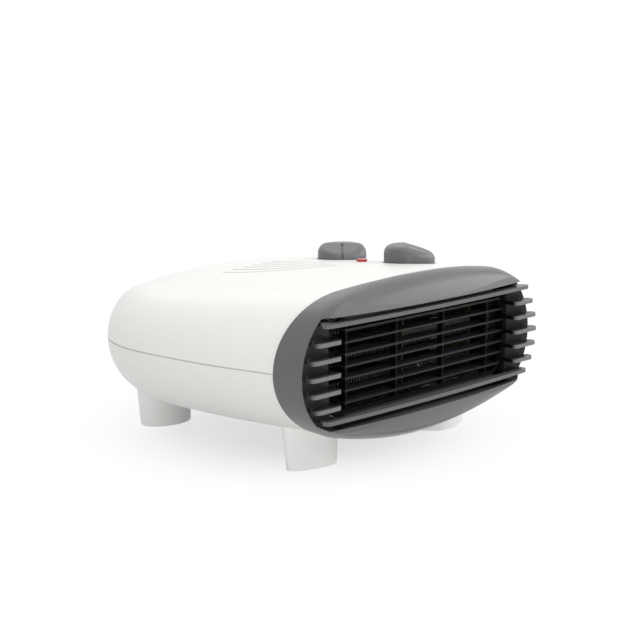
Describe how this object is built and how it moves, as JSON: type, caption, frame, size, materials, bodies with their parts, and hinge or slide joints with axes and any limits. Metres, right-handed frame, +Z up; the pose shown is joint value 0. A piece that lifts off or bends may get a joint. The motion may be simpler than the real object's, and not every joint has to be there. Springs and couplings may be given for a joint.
{
  "type": "flat fan heater",
  "caption": "Flat pod-shaped electric fan heater on short feet, with a bowed dark front grille, stub ribs, and two turning knobs and a pilot lamp on top.",
  "frame": {"origin": "on the floor under the middle of the overall box", "axes": "+X to the heater's own left-to-right width as seen from the front, +Y from the outlet to the back, +Z up"},
  "size_m": [0.2302, 0.2253, 0.1144],
  "materials": {
    "shell_white": "satin moulded white",
    "inlet_white": "satin moulded white",
    "bezel_grey": "fine textured dark grey",
    "knob_grey": "satin dark grey",
    "grid_black": "dull black enamel",
    "foot_white": "satin pale grey",
    "screw_steel": "zinc plated",
    "sheet_steel": "galvanised sheet",
    "mica_brown": "pressed mica board",
    "wire_alloy": "oxidised resistance wire",
    "cutout_black": "dull black phenolic",
    "fuse_ceramic": "unglazed ceramic",
    "shroud_grey": "plain moulded dark grey",
    "core_steel": "machined steel",
    "winding_copper": "enamelled copper wire",
    "bearing_bronze": "sintered bronze",
    "fan_black": "plain moulded black",
    "lens_red": "clear red moulded",
    "neon_glass": "small glass bulb"
  },
  "bodies": {
    "housing": {"control_screws": "screw_steel", "cord_gland": "shroud_grey", "fan_shroud": "shroud_grey", "foot_screws": "screw_steel", "front_bearing": "bearing_bronze", "front_bezel": "bezel_grey", "front_left_foot": "foot_white", "front_right_foot": "foot_white", "heater_housing": "sheet_steel", "heater_screws": "screw_steel", "heating_coils": "wire_alloy", "lower_shell": "shell_white", "mica_board_left": "mica_brown", "mica_board_middle": "mica_brown", "mica_board_right": "mica_brown", "mica_liner": "mica_brown", "motor_bolts": "screw_steel", "motor_coil": "winding_copper", "motor_front_bracket": "sheet_steel", "motor_rear_bracket": "sheet_steel", "motor_stator": "core_steel", "neon_lamp": "neon_glass", "outlet_grid": "grid_black", "pilot_lens": "lens_red", "rear_bearing": "bearing_bronze", "rear_grille": "inlet_white", "rear_left_foot": "foot_white", "rear_right_foot": "foot_white", "rotary_switch": "cutout_black", "shell_screws": "screw_steel", "terminal_block": "cutout_black", "thermal_cutout": "cutout_black", "thermal_fuse": "fuse_ceramic", "thermostat": "cutout_black", "upper_shell": "shell_white"},
    "fan_rotor": {"fan": "fan_black", "motor_shaft": "core_steel", "motor_rotor": "core_steel"},
    "mode_control": {"mode_knob": "knob_grey", "mode_spindle": "core_steel"},
    "thermostat_control": {"thermostat_knob": "knob_grey", "thermostat_spindle": "core_steel"}
  },
  "joints": [
    {"name": "fan_spin", "type": "hinge", "parent": "housing", "child": "fan_rotor", "pos_m": [0, -0.01, 0.0585], "axis": [0, 1, 0], "continuous": true},
    {"name": "mode_knob_turn", "type": "hinge", "parent": "housing", "child": "mode_control", "pos_m": [0.044, 0.00795, 0.1], "axis": [0, 0, -1], "range_deg": [0, 270]},
    {"name": "thermostat_knob_turn", "type": "hinge", "parent": "housing", "child": "thermostat_control", "pos_m": [0.044, -0.04995, 0.105], "axis": [0, 0, -1], "range_deg": [-270, 0]}
  ]
}
